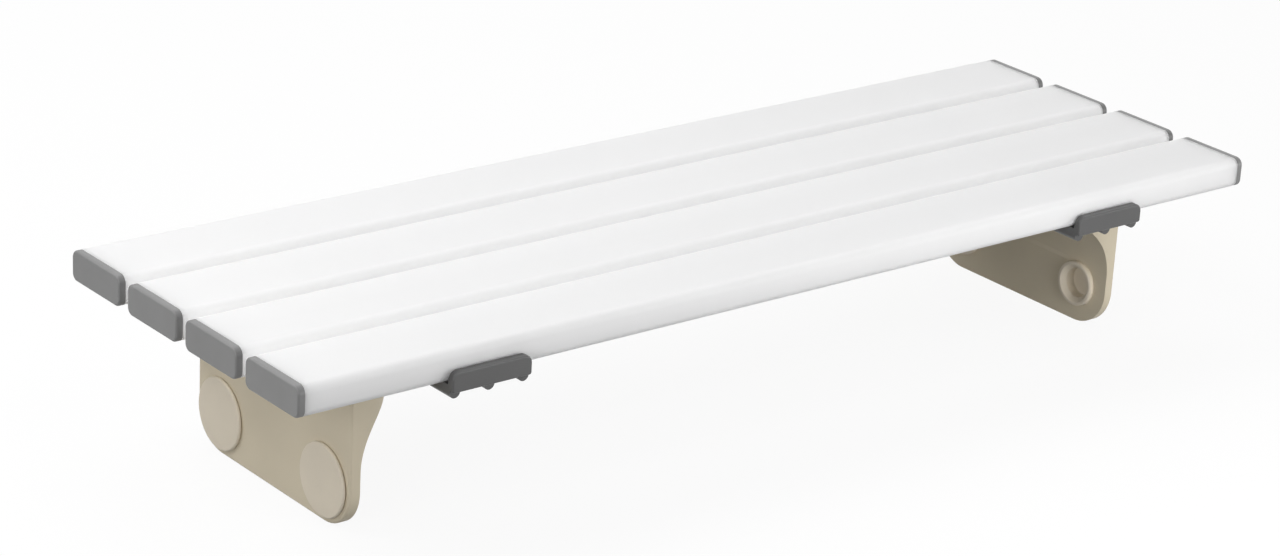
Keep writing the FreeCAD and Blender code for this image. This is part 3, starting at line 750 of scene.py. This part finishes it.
class BATHBOARD_OT_screws(bpy.types.Operator):
    """Make the screws that hold the slats, eight in each cross-bar"""
    bl_idname = "bathboard.screws"
    bl_label = "Screws"

    def execute(self, context):
        sizes = context.scene.bath_board_sizes
        group = self.tree()
        head = sizes.screw_head
        for side in SIDES:
            node = "slat_screws_" + side
            low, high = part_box(node)
            middle = (low + high) / 2
            piece = grow("screws_" + side, group, {
                "Segments": SCREW_SEGMENTS, "Recess width": 0.0011, "Recess span": 0.0042,
                "Recess depth": 0.0014, "Across": high.x - low.x - 2 * head,
                "Outer": (high.y - low.y) / 2 - head, "Inner": sizes.inner_screw,
                "Middle": (middle.x, middle.y, low.z), "Material": finish_of("fastener_steel"),
            }, self.profile(sizes, high.z - low.z))
            attach(piece, "board", "fastener_steel", node)
        return {"FINISHED"}

    def tree(self):
        """A screw with a cross cut into its head, repeated over one cross-bar."""
        tree = Tree("Screws", {
            "Segments": "Int", "Recess width": "Float", "Recess span": "Float",
            "Recess depth": "Float", "Across": "Float", "Outer": "Float", "Inner": "Float",
            "Middle": "Vector", "Material": "Material",
        })
        screw = tree.turned(tree.given("Segments"))
        width, span = tree.given("Recess width"), tree.given("Recess span")
        depth = tree.math("MULTIPLY", tree.given("Recess depth"), 2)
        for x, y in ((width, span), (span, width)):
            arm = tree.node("GeometryNodeMeshCube", {"Size": tree.vector(x, y, depth)})
            cut = tree.node("GeometryNodeMeshBoolean", {
                "Mesh 1": screw, "Mesh 2": arm.outputs[0],
            }, operation="DIFFERENCE", solver="EXACT")
            screw = cut.outputs["Mesh"]
        rows = []
        for place in ("Outer", "Inner"):
            reach = tree.given(place)
            first = tree.vector(y=tree.math("MULTIPLY", reach, -1))
            step = tree.vector(y=tree.math("MULTIPLY", reach, 2))
            rows.append(tree.repeated(screw, 2, first, step))
        across = tree.given("Across")
        both = tree.repeated(
            tree.joined(*rows), 2, tree.vector(x=tree.math("MULTIPLY", across, -0.5)),
            tree.vector(x=across),
        )
        return tree.end(tree.moved(both, Translation=tree.given("Middle")))

    def profile(self, sizes, length):
        """From the middle of the head's face round its crown, up the shank to the point."""
        head, shank, under = sizes.screw_head, sizes.screw_shank, sizes.screw_crown
        point, tip = 0.0024, 0.0004
        crown_round, shank_round = 0.0009, 0.0002
        return rounded_profile([
            (0, 0, 0),
            (head, 0, crown_round),
            (head, under, 0),
            (shank, under, 0),
            (shank, length - point, shank_round),
            (tip, length, 0),
            (0, length, 0),
        ])


class BATHBOARD_OT_washers(bpy.types.Operator):
    """Turn the washers, one round each clamp bolt"""
    bl_idname = "bathboard.washers"
    bl_label = "Washers"

    def execute(self, context):
        hole, edge_round = context.scene.bath_board_sizes.washer_hole, 0.0002
        tree = Tree("Washers", {"Segments": "Int", "Place": "Vector", "Material": "Material"})
        ring = tree.turned(tree.given("Segments"))
        group = tree.end(tree.moved(ring, Translation=tree.given("Place")))
        for corner in CORNERS:
            node = "washer_" + corner
            low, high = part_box(node)
            outer, thickness = (high.x - low.x) / 2, high.z - low.z
            middle = (low + high) / 2
            profile = rounded_profile([
                (hole, thickness, 0), (hole, 0, 0), (outer, 0, edge_round),
                (outer, thickness, edge_round), (hole, thickness, 0),
            ])
            piece = grow("ring_" + corner, group, {
                "Segments": WASHER_SEGMENTS, "Place": (middle.x, middle.y, low.z),
                "Material": finish_of("fastener_steel"),
            }, profile)
            attach(piece, corner + "_washer", "fastener_steel", node)
        return {"FINISHED"}


class BATHBOARD_OT_clamps(bpy.types.Operator):
    """Dress the clamp bolts, the hand knobs and their inserts"""
    bl_idname = "bathboard.clamps"
    bl_label = "Clamps"

    def execute(self, context):
        edge = context.scene.bath_board_sizes.soft_edge
        for corner in CORNERS:
            node = "hand_knob_" + corner
            knob = softened_copy(node, "knob_" + corner, edge, "knob_grey")
            attach(knob, corner + "_knob", "knob_grey", node)
            node = "clamp_bolt_" + corner
            bolt = softened_copy(node, "bolt_" + corner, edge / 2, "fastener_steel")
            attach(bolt, "board", "fastener_steel", node)
            dress_node("knob_insert_" + corner, "insert_brass")
        return {"FINISHED"}


class BATHBOARD_OT_stage(bpy.types.Operator):
    """Lay the pale floor and set the soft studio light and the camera"""
    bl_idname = "bathboard.stage"
    bl_label = "Stage, light and camera"

    def execute(self, context):
        self.lay_floor(context.scene.bath_board_colours.floor)
        self.set_world(context.scene)
        for lamp in LAMPS:
            self.add_lamp(*lamp)
        self.add_camera(context.scene)
        context.scene.view_settings.view_transform = "Standard"
        return {"FINISHED"}

    def lay_floor(self, colour):
        mesh = bpy.data.meshes.new("floor")
        shape = bmesh.new()
        bmesh.ops.create_circle(shape, cap_ends=True, segments=FLOOR_SEGMENTS, radius=FLOOR_RADIUS)
        shape.to_mesh(mesh)
        shape.free()
        mesh.materials.append(self.floor_finish(colour))
        floor = add_object("floor", mesh)

    def floor_finish(self, colour):
        """Nearly white where it is seen, plain where it only takes light, and clear from below."""
        material = bpy.data.materials.new("floor")
        material.use_nodes = True
        nodes = Nodes(material.node_tree)
        nodes.tree.nodes.remove(nodes.tree.nodes["Principled BSDF"])
        camera, seen = nodes.rays()
        shade = nodes.node("ShaderNodeMix", {
            "Factor": seen, "A": (*colour, 1), "B": WHITE,
        }, data_type="RGBA")
        diffuse = nodes.node("ShaderNodeBsdfDiffuse", {"Color": shade.outputs["Result"]})
        glow = nodes.node("ShaderNodeEmission", {"Color": WHITE, "Strength": 1.0})
        mixed = nodes.node("ShaderNodeMixShader", {
            0: nodes.math("MULTIPLY", seen, FLOOR_GLOW), 1: diffuse.outputs[0], 2: glow.outputs[0],
        })
        below = nodes.node("ShaderNodeNewGeometry").outputs["Backfacing"]
        clear = nodes.node("ShaderNodeBsdfTransparent")
        surface = nodes.node("ShaderNodeMixShader", {
            0: nodes.math("MULTIPLY", below, camera), 1: mixed.outputs[0], 2: clear.outputs[0],
        })
        nodes.fill(nodes.tree.nodes["Material Output"], {"Surface": surface.outputs[0]})
        return material

    def set_world(self, scene):
        """A little light from all round, and white where the camera or gloss looks past."""
        world = bpy.data.worlds.new("studio")
        scene.world = world
        world.use_nodes = True
        nodes = Nodes(world.node_tree)
        strength = nodes.node("ShaderNodeMapRange", {
            "Value": nodes.rays()[1], "To Min": WORLD_LIGHT, "To Max": 1.0,
        })
        nodes.fill(nodes.tree.nodes["Background"], {
            "Color": WHITE, "Strength": strength.outputs["Result"],
        })

    def add_lamp(self, name, place, target, size, power):
        lamp = bpy.data.lights.new(name, "AREA")
        lamp.shape = "SQUARE"
        lamp.size = size
        lamp.energy = power
        holder = add_object(name, lamp)
        holder.visible_camera = False
        holder.location = place
        aim = Vector(target) - Vector(place)
        holder.rotation_euler = aim.to_track_quat("-Z", "Y").to_euler()

    def add_camera(self, scene):
        data = bpy.data.cameras.new("camera")
        data.sensor_width = SENSOR
        data.lens = LENS
        data.clip_end = CAMERA_REACH
        camera = add_object("camera", data)
        camera.location = CAMERA_PLACE
        camera.rotation_euler = CAMERA_TURN
        scene.camera = camera


class BATHBOARD_PT_panel(bpy.types.Panel):
    """The board's pieces, sizes and colours"""
    bl_idname = "BATHBOARD_PT_panel"
    bl_label = "Bath board"
    bl_space_type = "VIEW_3D"
    bl_region_type = "UI"
    bl_category = "Bath board"

    def draw(self, context):
        layout = self.layout
        for operator in OPERATORS:
            layout.operator(operator.bl_idname)
        for group in (context.scene.bath_board_sizes, context.scene.bath_board_colours):
            column = layout.column()
            for name in group.bl_rna.properties.keys():
                if name not in ("rna_type", "name"):
                    column.prop(group, name)


OPERATORS = (
    BATHBOARD_OT_slats,
    BATHBOARD_OT_end_caps,
    BATHBOARD_OT_cross_bars,
    BATHBOARD_OT_brackets,
    BATHBOARD_OT_buffers,
    BATHBOARD_OT_screws,
    BATHBOARD_OT_washers,
    BATHBOARD_OT_clamps,
    BATHBOARD_OT_stage,
)
CLASSES = (BathBoardSizes, BathBoardColours, *OPERATORS, BATHBOARD_PT_panel)


def register():
    for item in CLASSES:
        bpy.utils.register_class(item)
    bpy.types.Scene.bath_board_sizes = PointerProperty(type=BathBoardSizes)
    bpy.types.Scene.bath_board_colours = PointerProperty(type=BathBoardColours)


def unregister():
    del bpy.types.Scene.bath_board_colours
    del bpy.types.Scene.bath_board_sizes
    for item in reversed(CLASSES):
        bpy.utils.unregister_class(item)


def main():
    register()
    bpy.ops.bathboard.slats()
    bpy.ops.bathboard.end_caps()
    bpy.ops.bathboard.cross_bars()
    bpy.ops.bathboard.brackets()
    bpy.ops.bathboard.buffers()
    bpy.ops.bathboard.screws()
    bpy.ops.bathboard.washers()
    bpy.ops.bathboard.clamps()
    bpy.ops.bathboard.stage()


if __name__ == "__main__":
    main()
